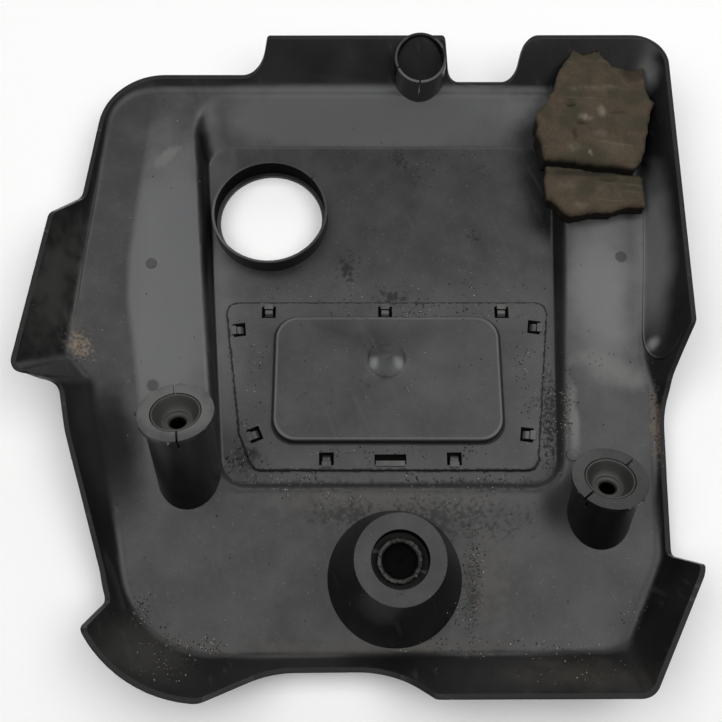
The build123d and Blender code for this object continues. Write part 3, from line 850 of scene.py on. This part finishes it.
def fill_outline(outline, step, seed, loose=0.15):
    rng = random.Random(seed)
    left, right = min(p.x for p in outline), max(p.x for p in outline)
    front, back = min(p.y for p in outline), max(p.y for p in outline)
    points = list(outline)
    for i in range(int((right - left) / step) + 1):
        for j in range(int((back - front) / step) + 1):
            shift = 0.5 * (j % 2) + rng.uniform(-loose, loose)
            p = Vector((left + (i + shift) * step, front + (j + rng.uniform(-loose, loose)) * step))
            if inside(p, outline) and edge_distance(p, outline) > 0.6 * step:
                points.append(p)
    loop = [(k, (k + 1) % len(outline)) for k in range(len(outline))]
    flat, _, faces, *_ = delaunay_2d_cdt(points, loop, [], 1, 1e-7)
    return flat, faces


print("outline helpers ready")

# %% Say how high, worn and dark a pad is at a point
shoulder_back, shoulder_base = 0.164, 0.022
shoulder_rise = math.tan(math.radians(2.5))
rest_gap, thinnest = 0.0002, 0.0006
edge_roll, edge_drop, pressed_down = 0.0016, 0.0014, 0.0012


def shoulder_height(y):
    return shoulder_base + (y - shoulder_back) * shoulder_rise


def pad_bottom(p):
    return max(floor_height(p.x, p.y), shoulder_height(p.y)) + rest_gap


def oval_distance(p, cx, cy, rx, ry):
    return math.hypot((p.x - cx / 1000) / (rx / 1000), (p.y - cy / 1000) / (ry / 1000))


def pad_top(p, depth, thickness, creases, seed):
    crumple = noise.fractal(Vector((p.x * 70, p.y * 70, seed)), 1.0, 2.1, 5) * 0.0011
    crumple += noise.fractal(Vector((p.x * 320, p.y * 320, seed + 3)), 0.8, 2.0, 4) * 0.00045
    roll = max(0.0, 1 - depth / edge_roll)
    drop = edge_drop * (1 - math.sqrt(max(0.0, 1 - roll * roll)))
    height = shoulder_height(p.y) + thickness + crumple - drop - pressed_down
    for *oval, sink, _ in creases:
        height -= sink / 1000 * max(0.0, 1 - oval_distance(p, *oval)) ** 1.5
    return max(height, pad_bottom(p) + thinnest)


def pad_wear(p, creases, seed):
    rag = max(0.0, 0.6 + 0.8 * noise.noise(Vector((p.x * 420, p.y * 420, seed))))
    return min(1.0, sum(pale * max(0.0, 1 - oval_distance(p, *oval)) * rag for *oval, _, pale in creases))


def pad_shade(p, dark):
    dims = [dim * max(0.0, min(1.0, 2 - 2 * oval_distance(p, *oval))) for *oval, dim in dark]
    return max([0.0] + dims)


print("shoulder at the pads:", round(shoulder_height(0.13), 5))

# %% Define how a pad is built
# The sides of a pad get painted shade.
ring_levels, ring_shade = (0.72, 0.42, 0.14, 0.0), 0.85
ring_inset, ring_wander = 0.0004, 0.0007


def pad_rings(bm, outline, upper, shade_layer, seed):
    rings = [upper[:len(outline)]]
    middle = sum(outline, Vector((0, 0))) / len(outline)
    for level in ring_levels:
        ring = []
        for k, p in enumerate(outline):
            pull = noise.noise(Vector((p.x * 260, p.y * 260, seed + level * 9))) * ring_wander
            q = p + (middle - p).normalized() * (ring_inset + pull)
            low = pad_bottom(q)
            ring.append(bm.verts.new((q.x, q.y, low + (upper[k].co.z - low) * level)))
            ring[-1][shade_layer] = ring_shade
        rings.append(ring)
    for a, b in zip(rings, rings[1:]):
        for (a1, a2), (b1, b2) in zip(ring_pairs(a), ring_pairs(b)):
            bm.faces.new((a1, b1, b2, a2))
    return rings[-1]


def foam_pad(name, node, corners, thickness, creases, dark, seed):
    outline = ragged_outline([metres(*c) for c in corners], step=0.0018, depth=0.0011, seed=seed)
    flat, faces = fill_outline(outline, step=0.0021, seed=seed)
    bm = bmesh.new()
    wear_layer = bm.verts.layers.float.new("wear")
    shade_layer = bm.verts.layers.float.new("shade")
    upper = []
    for p in flat:
        v = bm.verts.new((p.x, p.y, pad_top(p, edge_distance(p, outline), thickness, creases, seed)))
        v[wear_layer] = pad_wear(p, creases, seed)
        v[shade_layer] = pad_shade(p, dark)
        upper.append(v)
    for f in faces:
        bm.faces.new([upper[i] for i in f])
    under = list(pad_rings(bm, outline, upper, shade_layer, seed))
    under += [bm.verts.new((p.x, p.y, pad_bottom(p))) for p in flat[len(outline):]]
    for f in faces:
        bm.faces.new([under[i] for i in reversed(f)])
    piece = finish_piece(name, bm, foam)
    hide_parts(node)
    print(name, "faces:", len(piece.data.polygons))


print("pad builder ready")

# %% Build the two pads
# A crease has its centre and half sizes, its depth and how pale it is. A dark part has a strength instead.
upper_corners = [
    (137.1, 182.6), (146.1, 181.0), (157.9, 182.6), (161.4, 177.5), (167.8, 169.7), (177.4, 168.4),
    (189.0, 169.7), (188.4, 159.6), (189.2, 151.0), (191.6, 144.2), (193.4, 140.9), (190.0, 131.6),
    (186.7, 118.2), (184.1, 106.4), (181.0, 94.8), (174.0, 88.2), (161.7, 89.6), (148.2, 91.2),
    (134.9, 94.2), (123.8, 95.0), (112.6, 95.8), (111.9, 106.4), (109.2, 118.2), (109.5, 131.6),
    (117.2, 142.2), (123.0, 151.4), (127.4, 166.8), (133.3, 176.2),
]
upper_creases = [
    (143.9, 128.9, 6.5, 3.8, 1.0, 1.5), (155.7, 133.4, 3.6, 6.5, 1.0, 1.6),
    (154.1, 115.5, 5.5, 3.2, 0.6, 0.9), (145.2, 100.1, 1.6, 2.6, 0.4, 1.8),
    (133.6, 104.5, 8.0, 5.0, 0.8, 0.55), (134.4, 138.4, 5.0, 2.4, 3.2, 0.0),
    (140.4, 124.4, 4.5, 1.8, 2.6, 0.0), (135.3, 115.0, 2.2, 6.0, 2.2, 0.0),
    (154.0, 152.5, 16.0, 2.6, 1.0, 0.55), (138.0, 152.0, 6.0, 3.0, 0.8, 0.5),
    (166.0, 133.0, 9.0, 2.0, 1.6, 0.0), (150.0, 141.0, 24.0, 3.0, 0.9, 0.15),
    (180.6, 164.0, 12.0, 9.0, 2.6, 0.0), (128.0, 122.0, 4.0, 14.0, 1.4, 0.0),
    (160.0, 104.0, 16.0, 7.0, 0.6, 0.25),
]
upper_dark = [
    (181, 165, 12, 10, 0.55), (134.4, 138.4, 4.0, 2.0, 0.8), (140.4, 124.0, 4.0, 1.4, 0.7),
    (135.3, 115.0, 1.6, 5.5, 0.6), (166.0, 133.0, 8.0, 1.4, 0.5),
]
lower_corners = [
    (114.8, 93.6), (123.8, 93.2), (134.2, 92.4), (148.0, 89.4), (161.7, 87.8), (174.0, 86.4),
    (181.6, 85.6), (181.4, 78.2), (181.7, 61.9), (171.3, 62.6), (163.6, 60.5), (158.4, 57.7),
    (146.1, 57.7), (129.8, 54.9), (121.7, 61.9), (117.2, 66.9), (113.5, 68.3), (113.0, 81.1),
]
lower_creases = [
    (128.0, 78.0, 12.0, 6.0, 0.7, 0.3), (150.0, 70.0, 14.0, 3.0, 1.0, 0.15),
    (165.0, 73.0, 6.0, 8.0, 0.8, 0.2), (152.0, 76.0, 7.0, 5.0, 1.2, 0.3),
    (136.0, 62.0, 8.0, 3.0, 0.5, 0.5), (158.0, 82.0, 9.0, 2.5, 1.4, 0.0),
]
# The first dark part is painted shade along the joint of the two pads.
lower_dark = [(150, 88, 45, 4, 0.6), (158.0, 82.0, 8.0, 2.0, 0.4)]
foam_pad("worn_foam_upper", "foam_pad_upper", upper_corners, 0.019, upper_creases, upper_dark, seed=11)
foam_pad("worn_foam_lower", "foam_pad_lower", lower_corners, 0.013, lower_creases, lower_dark, seed=23)

# %% [markdown]
# ## Ball sockets and sleeve
# A socket is a turned shape: a rounded lip, a bowl that leads the ball stud in, and a round hole. One
# profile is spun about the axis that the record gives for the socket. The sleeve in the boss is spun the
# same way, but its torn upper edge goes up and down with noise.

# %% Define how a rubber piece is spun
def stand_on(top, axis):
    turn = Vector((0, 0, 1)).rotation_difference(axis).to_matrix().to_4x4()
    return Matrix.Translation(top) @ turn


def spun(name, profile, place, steps, tear, shaded_rows):
    """Spin a profile of radius, height and looseness; the listed rows get the black of painted shade."""
    bm = bmesh.new()
    rings = []
    for k in range(steps):
        angle = 2 * math.pi * k / steps
        c, s = math.cos(angle), math.sin(angle)
        ring = []
        for r, h, loose in profile:
            rag = noise.fractal(Vector((c * 5, s * 5, r * 0.4)), 0.8, 2.0, 5) * tear * loose
            out = r + rag * 0.6
            ring.append(bm.verts.new(place @ Vector((c * out / 1000, s * out / 1000, (h + rag) / 1000))))
        rings.append(ring)
    for a, b in ring_pairs(rings):
        for i in range(len(profile)):
            j = (i + 1) % len(profile)
            face = bm.faces.new((a[i], b[i], b[j], a[j]))
            face.material_index = int(i in shaded_rows)
    piece = finish_piece(name, bm, rubber)
    piece.data.materials.append(painted_shade.material)
    print(name, "faces:", len(piece.data.polygons))
    return piece


print("spinner ready")

# %% Spin the rubber pieces
socket_profile = [
    (17.0, -16.0, 0), (17.0, -9.0, 0), (17.0, -3.05, 0), (15.0, -3.05, 0), (15.0, -0.45, 0),
    (14.8, -0.1, 0), (14.3, 0.0, 0), (13.9, -0.15, 0), (13.6, -0.6, 0), (12.6, -2.6, 0),
    (11.2, -5.4, 0), (9.6, -8.2, 0), (8.9, -8.7, 0), (7.9, -8.4, 0), (6.9, -8.1, 0),
    (6.1, -8.4, 0), (5.4, -9.2, 0), (5.0, -10.4, 0), (5.0, -12.5, 0), (5.0, -16.0, 0),
]
sleeve_profile = [
    (12.0, -2.5, 0), (12.0, 0.0, 0), (13.8, 0.0, 0), (13.8, 3.0, 0), (13.7, 5.2, 0.6), (13.2, 5.9, 1),
    (12.7, 5.6, 1), (12.3, 5.9, 1), (11.6, 5.7, 1), (11.2, 5.0, 0.7), (10.9, 4.0, 0.3), (10.9, 2.0, 0),
    (10.9, 0.05, 0), (6.0, 0.05, 0), (0.02, 0.05, 0), (0.02, -2.5, 0), (6.0, -2.5, 0),
]
socket_lip, sleeve_foot = 0.012, 0.003
tower_tops = {}
for side in ("left", "right"):
    axis = mount_axis(side + "_ball_socket")
    tower_tops[side] = stand_on(mount_place(side + "_ball_socket") + axis * socket_lip, axis)
    piece = spun(
        side + "_ball_cup", socket_profile, tower_tops[side], steps=96, tear=0.0, shaded_rows=(17, 18, 19)
    )
    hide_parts(side + "_grommet")
axis = mount_axis("boss_socket")
cup_floor = stand_on(mount_place("boss_socket") - axis * sleeve_foot, axis)
sleeve = spun("boss_sleeve", sleeve_profile, cup_floor, steps=160, tear=1.5, shaded_rows=(10, 11, 12, 13))
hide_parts("boss_grommet")

# %% [markdown]
# ## Moulding flash
# Where the two halves of the mould met, thin scraps of plastic stand out from the tower flanges. Each
# scrap is a small wedge with its root inside the flange and a crooked tip.

# %% Grow the flash on the flanges
def flash_wedge(bm, place, degrees, length, width, thickness, droop, root=22.3):
    angle = math.radians(degrees)
    out = Vector((math.cos(angle), math.sin(angle), 0))
    side = Vector((-math.sin(angle), math.cos(angle), 0))
    outline = ((0, -width / 2), (0, width / 2), (length * 0.6, width * 0.22), (length, -width * 0.12))
    faces = []
    for level in (-0.15, -0.15 - thickness):
        corners = []
        for reach, across in outline:
            p = out * (root + reach) + side * across + Vector((0, 0, level - droop * reach / length))
            corners.append(bm.verts.new(place @ (p / 1000)))
        faces.append(corners)
    high, low = faces
    bm.faces.new(high)
    bm.faces.new(low[::-1])
    for (h1, h2), (l1, l2) in zip(ring_pairs(high), ring_pairs(low)):
        bm.faces.new((h1, l1, l2, h2))


# Each scrap has its angle round the flange in degrees, then length, width, thickness and droop.
scraps = {
    "left": [
        (91, 1.7, 5.0, 1.2, 0.0), (268, 2.4, 3.4, 1.0, 1.6), (181, 2.2, 3.0, 1.8, 0.6),
        (196, 1.0, 7.0, 1.0, 0.0), (328, 1.1, 8.0, 1.2, 0.2),
    ],
    "right": [
        (206, 1.5, 3.6, 1.4, 0.3), (289, 1.3, 5.5, 1.0, 0.5), (317, 1.4, 3.0, 1.0, 0.2),
        (248, 0.8, 9.0, 0.8, 0.2),
    ],
}
bm = bmesh.new()
for side, wedges in scraps.items():
    for wedge in wedges:
        flash_wedge(bm, tower_tops[side], *wedge)
flash = finish_piece("tower_flash", bm, satin)
flash.data.shade_flat()
print("flash scraps:", sum(len(w) for w in scraps.values()))

# %% [markdown]
# ## Fine ridges
# The mould has left two fine raised lines: where the wing leaves the left shoulder, and round the end of
# the shallow channel at the foot of the right skirt. Each is a path of a few points on the cover. A
# Geometry Nodes tree smooths the path and sweeps a small circle along it. The path lies a little below the
# surface, so that only a low ridge shows.

# %% Define how a tree grows a piece
def real_and_painted(net, geometry, material):
    real = net.put("GeometryNodeRealizeInstances", {"Geometry": geometry}).outputs[0]
    return painted(net, real, material)


def marked_points(name, places, edges, label, values):
    mesh = bpy.data.meshes.new(name)
    mesh.from_pydata(places, edges, [])
    mesh.attributes.new(label, "FLOAT", "POINT").data.foreach_set("value", values)
    return mesh


def grown(name, net, mesh, slot, **values):
    carrier = link(bpy.data.objects.new(name + "_carrier", mesh))
    add_modifier(carrier, net, **values)
    evaluated = carrier.evaluated_get(bpy.context.evaluated_depsgraph_get())
    result = bpy.data.meshes.new_from_object(evaluated)
    result.name = name
    piece = link(bpy.data.objects.new(name, result))
    bpy.data.objects.remove(carrier)
    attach(piece, "root")
    print(name, "faces:", len(result.polygons))
    return piece


print("growing helpers ready")

# %% Tree: sweep a ridge along a path
ridge, given = new_tree("mould_ridge", Spacing=0.0015)
path = ridge.put("GeometryNodeMeshToCurve", {"Mesh": given["Geometry"]}).outputs[0]
spline = ridge.put("GeometryNodeCurveSplineType", {"Curve": path}, spline_type="CATMULL_ROM").outputs[0]
spaced = {"Curve": spline, "Length": given["Spacing"]}
even = ridge.put("GeometryNodeResampleCurve", spaced, mode="LENGTH").outputs[0]
width = ridge.put("GeometryNodeInputNamedAttribute", {"Name": "width"}, data_type="FLOAT")
ring = ridge.put("GeometryNodeCurvePrimitiveCircle", {"Resolution": 10, "Radius": 1.0}, mode="RADIUS")
sweep = {
    "Curve": even,
    "Profile Curve": ring.outputs["Curve"],
    "Scale": width.outputs["Attribute"],
    "Fill Caps": True,
}
swept = ridge.put("GeometryNodeCurveToMesh", sweep).outputs["Mesh"]
ridge.give(Geometry=real_and_painted(ridge, swept, given["Material"]))

# %% Lay the paths and make the ridges
# Each point has its place and the radius of the swept circle there, in millimetres.
ridge_paths = [
    [
        (183.8, 65.8, 20.3, 0.3), (181.8, 45.3, 19.0, 0.7), (179.7, 25.1, 17.8, 0.7),
        (177.7, 4.6, 16.5, 0.8), (175.8, -13.4, 15.4, 0.9), (174.5, -25.5, 14.8, 1.0),
        (174.5, -34.2, 14.9, 1.2), (176.1, -41.4, 16.9, 1.4), (179.1, -46.2, 20.5, 1.5),
        (182.8, -47.3, 25.3, 1.3), (185.9, -45.0, 30.4, 1.0), (188.7, -40.7, 35.3, 0.6),
        (191.0, -35.6, 39.8, 0.2),
    ],
    [
        (-199.4, 92.0, 23.5, 0.2), (-200.5, 77.1, 22.8, 0.5), (-202.3, 51.5, 21.9, 0.55),
        (-204.0, 26.5, 21.0, 0.55), (-205.2, 3.0, 20.0, 0.5), (-206.5, -19.3, 19.1, 0.2),
    ],
]
half_buried = 0.0005
places, edges, widths = [], [], []
for points in ridge_paths:
    for k, (x, y, z, size) in enumerate(points):
        at, across, _, _ = cover_tree.find_nearest(Vector((x, y, z)) / 1000)
        if k:
            edges.append((len(places) - 1, len(places)))
        places.append(at - across * size * half_buried)
        widths.append(size / 1000)
paths = marked_points("ridge_paths", places, edges, "width", widths)
ridges = grown("mould_ridges", ridge, paths, "shell", Material=satin.material)
ridges.data.shade_smooth()

# %% [markdown]
# ## Clip tongues
# In each slot of the seat a springy tongue of the trim plate stands against its hook. All nine are alike,
# so one tongue is modelled, and a Geometry Nodes tree sets it on nine points and turns it by an attribute.

# %% Model one tongue
half_width, edge_radius = 2.6, 0.00022
side_view = [(-2.9, 0.02), (-2.9, 0.7), (-1.3, 1.9), (0.6, 2.3), (1.45, 2.3), (1.45, 0.02)]
bm = bmesh.new()
left, right = [[bm.verts.new(metres(x, y, z)) for y, z in side_view] for x in (-half_width, half_width)]
bm.faces.new(left[::-1])
bm.faces.new(right)
for (l1, l2), (r1, r2) in zip(ring_pairs(left), ring_pairs(right)):
    bm.faces.new((l1, l2, r2, r1))
bmesh.ops.recalc_face_normals(bm, faces=bm.faces)
bmesh.ops.bevel(bm, geom=bm.edges[:], offset=edge_radius, segments=2, affect="EDGES")
tongue_mesh = bpy.data.meshes.new("tongue_pattern")
bm.to_mesh(tongue_mesh)
bm.free()
tongue = link(bpy.data.objects.new("tongue_pattern", tongue_mesh))
print("tongue faces:", len(tongue_mesh.polygons))

# %% Set the tongues in their slots
tongues, given = new_tree("clip_tongues", Tongue="NodeSocketObject")
pattern = tongues.put("GeometryNodeObjectInfo", {"Object": given["Tongue"]})
turn = tongues.put("GeometryNodeInputNamedAttribute", {"Name": "turn"}, data_type="FLOAT")
angles = tongues.put("ShaderNodeCombineXYZ", {"Z": turn.outputs["Attribute"]}).outputs[0]
standing = {"Points": given["Geometry"], "Instance": pattern.outputs["Geometry"], "Rotation": angles}
placed = tongues.put("GeometryNodeInstanceOnPoints", standing).outputs["Instances"]
tongues.give(Geometry=real_and_painted(tongues, placed, given["Material"]))
hook_level = 2.3
clip_slots = [
    (-78.0, -6.5, 0), (2.0, -6.5, 0), (82.0, -6.5, 0), (-98.0, -20.0, 97), (-84.5, -94.0, 113),
    (104.0, -18.0, 263), (94.5, -94.0, 263), (-37.0, -110.5, 180), (46.0, -110.5, 180),
]
places = [metres(x, y, hook_level) for x, y, _ in clip_slots]
turns = [math.radians(degrees) for _, _, degrees in clip_slots]
points = marked_points("tongue_points", places, [], "turn", turns)
grown("clip_tongues", tongues, points, "trim", Tongue=tongue, Material=clip.material)
bpy.data.objects.remove(tongue)

# %% [markdown]
# ## Loose grit
# Sand has collected in the hollow: pale and dark grains, thickest beside the plate, in front of it, round
# the boss and along the front corners. A Geometry Nodes tree scatters points evenly over the cover and
# then throws most of them away: where a point may stay is the sum of soft spots, each from one small
# function group. The density of a scatter node alone would not do, because it blurs over the large
# triangles of a flat floor.

# %% Group: how much grit one spot adds
weighed = {"Centre": VECTOR, "Reach": VECTOR, "Weight": 1.0}
spot, given = new_group("GeometryNodeTree", "grit_spot", weighed, ["Density"])
here = spot.put("GeometryNodeInputPosition").outputs[0]
offset = spot.vector("DIVIDE", spot.vector("SUBTRACT", here, given["Centre"]), given["Reach"])
fade = spot.ramp(spot.vector("LENGTH", offset), 0.2, 1.0, 1.0, 0.0)
spot.give(Density=spot.times(fade, given["Weight"]))

# %% Tree: add up the spots
# Each spot has its centre and half sizes in millimetres, and how many grains a square metre gets there.
grit_spots = [
    ((113, -84), (11, 48), 300000), ((-62, -124), (46, 9), 160000), ((50, -126), (66, 9), 160000),
    ((0, -136), (95, 14), 45000), ((-93, -104), (13, 26), 190000), ((56, -182), (10, 34), 200000),
    ((48, -208), (12, 14), 160000), ((-148, -206), (9, 17), 260000), ((-132, -226), (18, 14), 260000),
    ((-108, -226), (16, 8), 260000), ((-128, -240), (20, 12), 300000), ((70, -226), (80, 9), 70000),
    ((152, -208), (16, 14), 120000), ((110, -240), (60, 12), 60000), ((122, -74), (8, 42), 120000),
    ((150, -44), (32, 8), 60000), ((60, 14), (60, 12), 50000), ((-30, 10), (60, 12), 35000),
    ((30, -8), (100, 8), 60000), ((-199, -40), (8, 10), 70000), ((177, -92), (4, 30), 300000),
    ((10, -106), (95, 6), 130000), ((-84, -55), (10, 50), 60000), ((96, -55), (10, 50), 90000),
    ((40, 110), (70, 20), 20000), ((0, -50), (70, 40), 9000),
]
densest, everywhere = 300000.0, 900.0
spot_level, spot_depth = 12, 80
grit, given = new_tree("loose_grit", Thickness_of_Cover=1.0, Grain_Radius=0.0004, Seed=1)
total = everywhere
for centre, reach, weight in grit_spots:
    place = {"Centre": metres(*centre, spot_level), "Reach": metres(*reach, spot_depth)}
    total = grit.plus(total, grit.use(spot, Weight=weight, **place)["Density"])
clumps = grit.put("ShaderNodeTexNoise", {"Scale": 90.0, "Detail": 3.0}).outputs[0]
total = grit.times(total, grit.ramp(clumps, 0.35, 0.70, 0.05, 1.6), given["Thickness of Cover"])
print("grit spots:", len(grit_spots))

# %% Tree: scatter grains over the faces that look up
seed = given["Seed"]
even = {"Mesh": given["Geometry"], "Density": densest, "Seed": seed}
scatter = grit.put("GeometryNodeDistributePointsOnFaces", even).outputs
total = grit.times(total, grit.ramp(grit.part("Z", scatter["Normal"]), 0.40, 0.62))
luck = grit.put("FunctionNodeRandomValue", {3: densest, "Seed": seed}, data_type="FLOAT").outputs[1]
spare = {"Geometry": scatter["Points"], "Selection": grit.maths("GREATER_THAN", luck, total)}
thinned = grit.put("GeometryNodeDeleteGeometry", spare, domain="POINT").outputs[0]
stone = grit.put("GeometryNodeMeshIcoSphere", {"Subdivisions": 1, "Radius": given["Grain Radius"]})
between = {"Min": (0.35, 0.35, 0.3), "Max": (1.25, 1.25, 0.9), "Seed": seed}
sizes = grit.put("FunctionNodeRandomValue", between, data_type="FLOAT_VECTOR").outputs[0]
tumble = {"Max": (0.6, 0.6, 6.28), "Seed": seed}
spin = grit.put("FunctionNodeRandomValue", tumble, data_type="FLOAT_VECTOR").outputs[0]
lying = {"Points": thinned, "Instance": stone.outputs["Mesh"], "Scale": sizes, "Rotation": spin}
placed = grit.put("GeometryNodeInstanceOnPoints", lying).outputs["Instances"]
grit.give(Geometry=real_and_painted(grit, placed, given["Material"]))
print("grit tree ready")

# %% Make the grains
# Each kind has its two colours and roughness, then how thick it lies, the radius of a grain and the seed.
kinds_of_grit = {
    "pale": ((0.12, 0.105, 0.085, 1), (0.48, 0.45, 0.40, 1), 0.6, 0.28, 0.00038, 5),
    "dark": ((0.004, 0.004, 0.004, 1), (0.020, 0.017, 0.013, 1), 0.7, 0.95, 0.00066, 17),
    "rust": ((0.10, 0.055, 0.025, 1), (0.36, 0.24, 0.13, 1), 0.8, 0.26, 0.00042, 31),
}
for kind, (deep, light, rough, thickness, radius, seed) in kinds_of_grit.items():
    grains = Finish(kind + "_grit")
    patches = grains.ramp(grains.mottle(grains.where, 900.0), 0.40, 0.60)
    grains.shade(Base_Color=grains.tint(patches, deep, light), Roughness=rough)
    values = {"Thickness_of_Cover": thickness, "Grain_Radius": radius, "Seed": seed}
    grown("grit_" + kind, grit, shell.data.copy(), "shell", Material=grains.material, **values)
